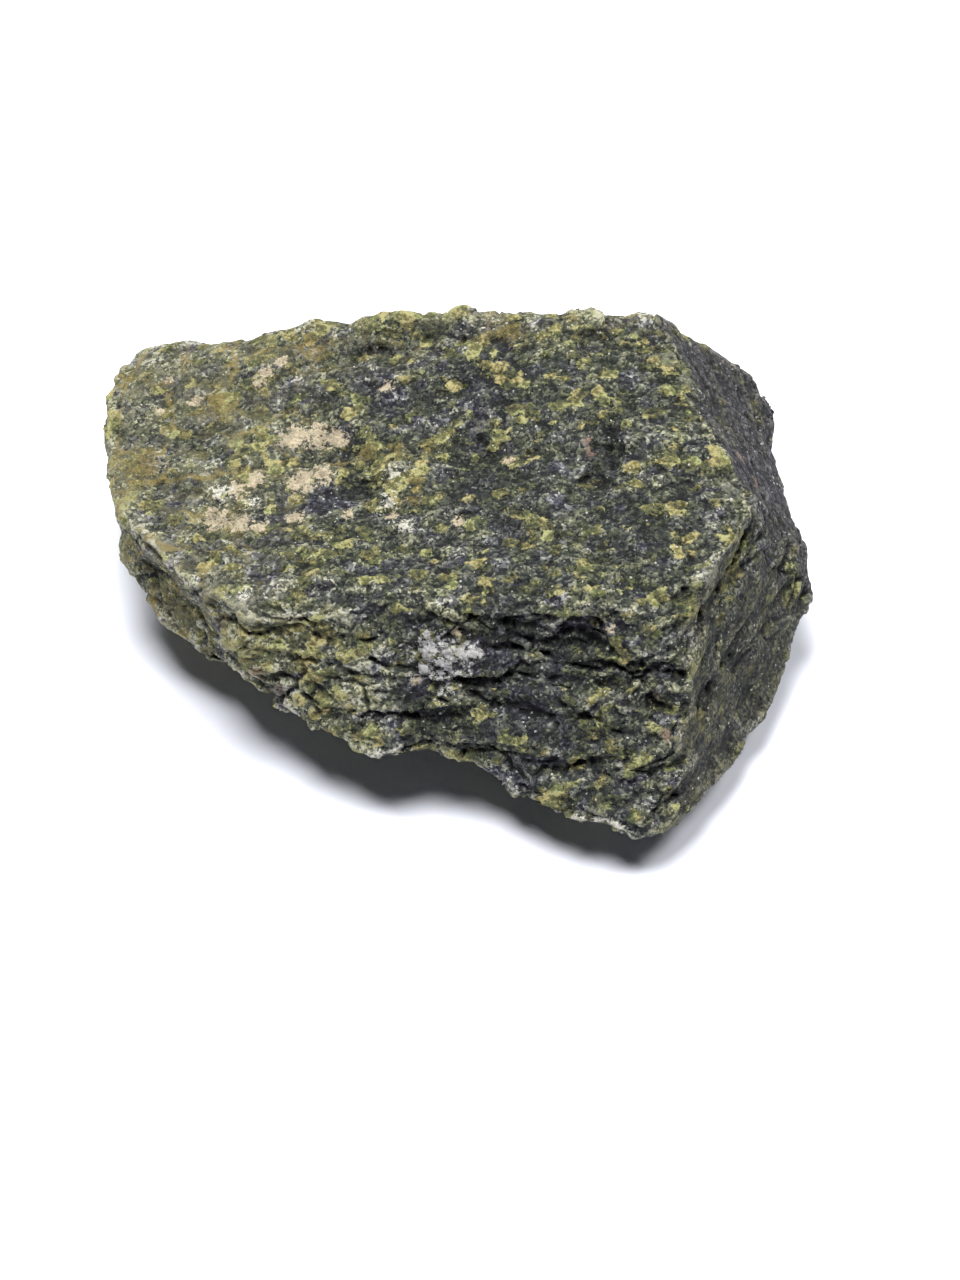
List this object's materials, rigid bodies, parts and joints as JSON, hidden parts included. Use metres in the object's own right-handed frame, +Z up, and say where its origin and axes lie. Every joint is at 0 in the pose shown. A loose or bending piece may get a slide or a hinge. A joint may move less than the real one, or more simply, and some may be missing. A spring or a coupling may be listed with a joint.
{
  "type": "raw serpentine",
  "caption": "Rough broken lump of dark green, yellow-flecked serpentine rock with a broad upper face, stepped steep sides and a flat foot to rest on.",
  "frame": {"origin": "middle of the stone's bounding box, on the surface it rests on", "axes": "+X along the stone's length, +Y towards its back, away from the stepped front, +Z up"},
  "size_m": [0.1088, 0.0854, 0.0376],
  "materials": {
    "serpentine": "rough broken stone, faintly waxy"
  },
  "bodies": {
    "root": {"serpentine_stone": "serpentine"}
  },
  "joints": []
}
